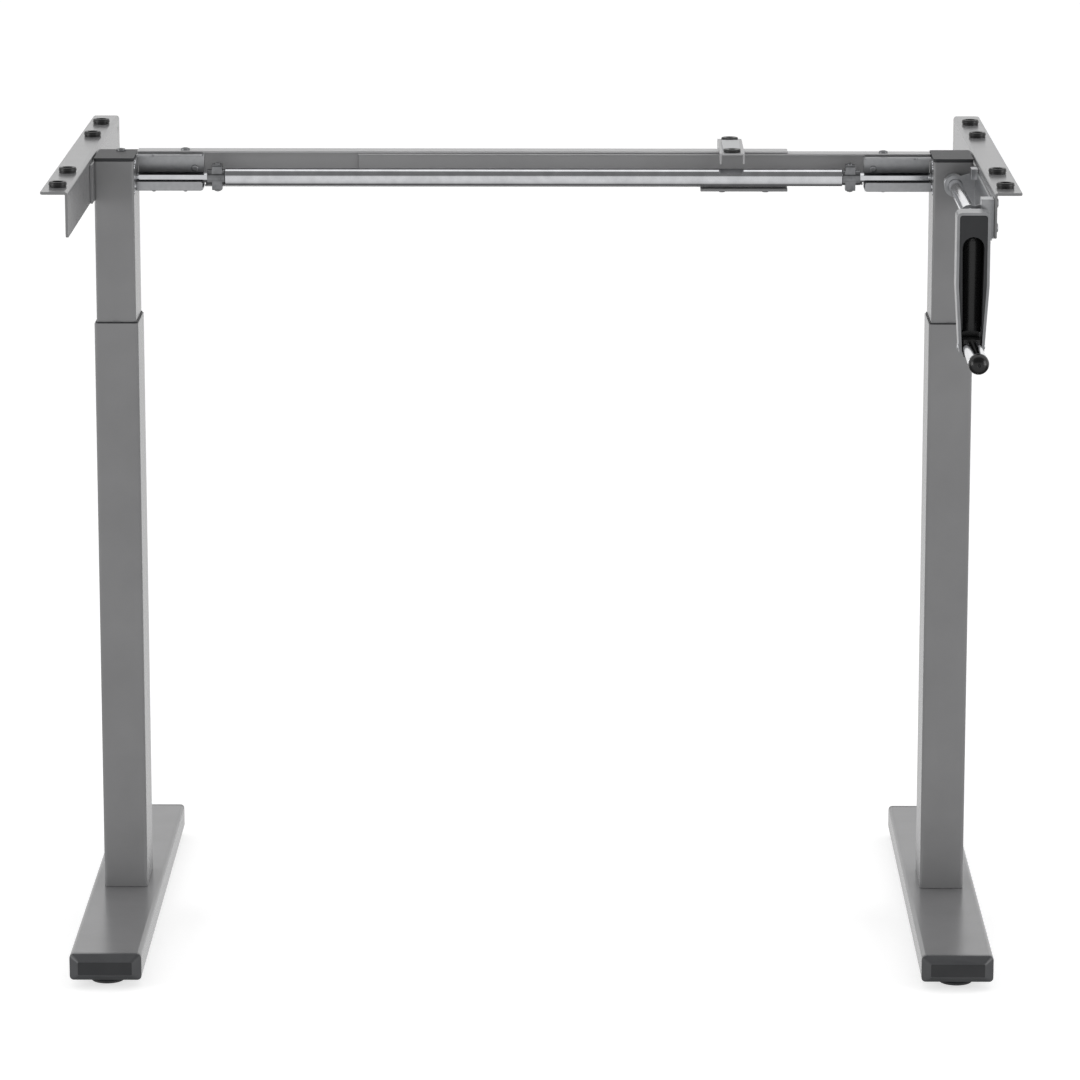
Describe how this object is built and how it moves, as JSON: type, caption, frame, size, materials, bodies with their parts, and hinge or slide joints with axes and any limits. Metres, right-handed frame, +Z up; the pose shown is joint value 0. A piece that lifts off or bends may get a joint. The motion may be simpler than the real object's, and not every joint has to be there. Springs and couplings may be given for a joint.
{
  "type": "height adjustable desk frame",
  "caption": "Hand-cranked desk frame with telescopic columns, flat tube feet, a sliding crossbar, side brackets with rubber pads and a folding crank grip.",
  "frame": {"origin": "on the floor, under the middle of the frame's box, crank grip included", "axes": "+X towards the crank's leg, +Y away from the user, +Z up"},
  "size_m": [1.0578, 0.791, 0.8998],
  "materials": {
    "grey_powder_coat": "fine matte powder coat, mid grey",
    "chrome": "bright nickel-chrome plated steel",
    "zinc": "dull zinc-plated steel",
    "machined_steel": "turned and cut steel with a light oil film",
    "brass": "turned brass",
    "charcoal_plastic": "fine-grained moulded plastic, charcoal",
    "black_plastic": "satin moulded plastic, black",
    "silver_grey_enamel": "smooth silver-grey enamel",
    "black_rubber": "moulded black rubber"
  },
  "bodies": {
    "base_left": {"foot_left": "grey_powder_coat", "foot_cap_front_left": "charcoal_plastic", "foot_cap_rear_left": "charcoal_plastic", "lower_tube_left": "grey_powder_coat", "nut_post_left": "machined_steel", "lead_nut_left": "brass", "guide_bush_left": "charcoal_plastic"},
    "upper_left": {"upper_tube_left": "grey_powder_coat", "gearbox_housing_left": "zinc", "top_cap_left": "charcoal_plastic", "side_bracket_left": "grey_powder_coat", "leg_bracket_left": "zinc", "rubber_pad_left_1": "black_rubber", "rubber_pad_left_2": "black_rubber", "rubber_pad_left_3": "black_rubber", "rubber_pad_left_4": "black_rubber", "crossbar_outer": "grey_powder_coat", "lock_plate": "grey_powder_coat", "centre_support": "grey_powder_coat"},
    "upper_right": {"upper_tube_right": "grey_powder_coat", "gearbox_housing_right": "zinc", "top_cap_right": "charcoal_plastic", "side_bracket_right": "grey_powder_coat", "leg_bracket_right": "zinc", "rubber_pad_right_1": "black_rubber", "rubber_pad_right_2": "black_rubber", "rubber_pad_right_3": "black_rubber", "rubber_pad_right_4": "black_rubber", "crossbar_inner": "grey_powder_coat", "crank_stay": "zinc"},
    "base_right": {"foot_right": "grey_powder_coat", "foot_cap_front_right": "charcoal_plastic", "foot_cap_rear_right": "charcoal_plastic", "lower_tube_right": "grey_powder_coat", "nut_post_right": "machined_steel", "lead_nut_right": "brass", "guide_bush_right": "charcoal_plastic"},
    "screw_left": {"lead_screw_left": "machined_steel", "screw_gear_left": "machined_steel"},
    "screw_right": {"lead_screw_right": "machined_steel", "screw_gear_right": "machined_steel"},
    "shaft_left": {"hex_rod_left": "chrome", "cross_pinion_left": "machined_steel", "drive_tube": "chrome", "coupler_left": "zinc", "coupler_right": "zinc"},
    "shaft_right": {"hex_rod_right": "chrome", "cross_pinion_right": "machined_steel"},
    "crank": {"crank_rod": "chrome", "crank_collar": "zinc", "crank_pinion": "machined_steel", "crank_arm": "silver_grey_enamel", "arm_liner": "charcoal_plastic"},
    "grip": {"grip_knuckle": "black_plastic", "grip_end_cap": "black_plastic"},
    "grip_tube": {"grip_sleeve": "silver_grey_enamel"},
    "glide_front_left": {"glide_front_left": "charcoal_plastic"},
    "glide_rear_left": {"glide_rear_left": "charcoal_plastic"},
    "glide_front_right": {"glide_front_right": "charcoal_plastic"},
    "glide_rear_right": {"glide_rear_right": "charcoal_plastic"}
  },
  "joints": [
    {"name": "lift", "type": "slide", "parent": "base_left", "child": "upper_left", "axis": [0, 0, 1], "range_m": [-0.138, 0.315]},
    {"name": "width_adjust", "type": "slide", "parent": "upper_left", "child": "upper_right", "axis": [1, 0, 0], "range_m": [-0.008, 0.34]},
    {"name": "drop", "type": "slide", "parent": "upper_right", "child": "base_right", "axis": [0, 0, -1], "range_m": [-0.138, 0.315]},
    {"name": "crank_turn", "type": "hinge", "parent": "upper_right", "child": "crank", "pos_m": [0.4743, 0.0625, 0.8655], "axis": [0, 1, 0], "range_deg": [-9936, 22680]},
    {"name": "screw_spin_left", "type": "hinge", "parent": "upper_left", "child": "screw_left", "pos_m": [-0.4743, 0.0625, 0.8655], "axis": [0, 0, 1], "range_deg": [-6624.1, 15120.1]},
    {"name": "screw_spin_right", "type": "hinge", "parent": "upper_right", "child": "screw_right", "pos_m": [0.4743, 0.0625, 0.8655], "axis": [0, 0, 1], "range_deg": [-15120.1, 6624.1]},
    {"name": "shaft_spin_left", "type": "hinge", "parent": "upper_left", "child": "shaft_left", "pos_m": [-0.4743, 0.0625, 0.8655], "axis": [1, 0, 0], "range_deg": [-9936.1, 22680.1]},
    {"name": "shaft_spin_right", "type": "hinge", "parent": "upper_right", "child": "shaft_right", "pos_m": [0.4743, 0.0625, 0.8655], "axis": [1, 0, 0], "range_deg": [-9936.1, 22680.1]},
    {"name": "grip_fold", "type": "hinge", "parent": "crank", "child": "grip", "pos_m": [0.4743, -0.2757, 0.7314], "axis": [-1, 0, 0], "range_deg": [0, 90]},
    {"name": "grip_spin", "type": "hinge", "parent": "grip", "child": "grip_tube", "pos_m": [0.4743, -0.2757, 0.7314], "axis": [0, -1, 0], "continuous": true},
    {"name": "glide_front_left_screw_out", "type": "slide", "parent": "base_left", "child": "glide_front_left", "axis": [0, 0, -1], "range_m": [0, 0.01]},
    {"name": "glide_rear_left_screw_out", "type": "slide", "parent": "base_left", "child": "glide_rear_left", "axis": [0, 0, -1], "range_m": [0, 0.01]},
    {"name": "glide_front_right_screw_out", "type": "slide", "parent": "base_right", "child": "glide_front_right", "axis": [0, 0, -1], "range_m": [0, 0.01]},
    {"name": "glide_rear_right_screw_out", "type": "slide", "parent": "base_right", "child": "glide_rear_right", "axis": [0, 0, -1], "range_m": [0, 0.01]}
  ],
  "couplings": [
    {"joint": "lift", "follows": "crank_turn", "m_per_rad": 0.00079577},
    {"joint": "drop", "follows": "crank_turn", "m_per_rad": 0.00079577},
    {"joint": "screw_spin_right", "follows": "crank_turn", "ratio": -0.66667},
    {"joint": "screw_spin_left", "follows": "crank_turn", "ratio": 0.66667},
    {"joint": "shaft_spin_right", "follows": "crank_turn", "ratio": 1},
    {"joint": "shaft_spin_left", "follows": "crank_turn", "ratio": 1}
  ]
}
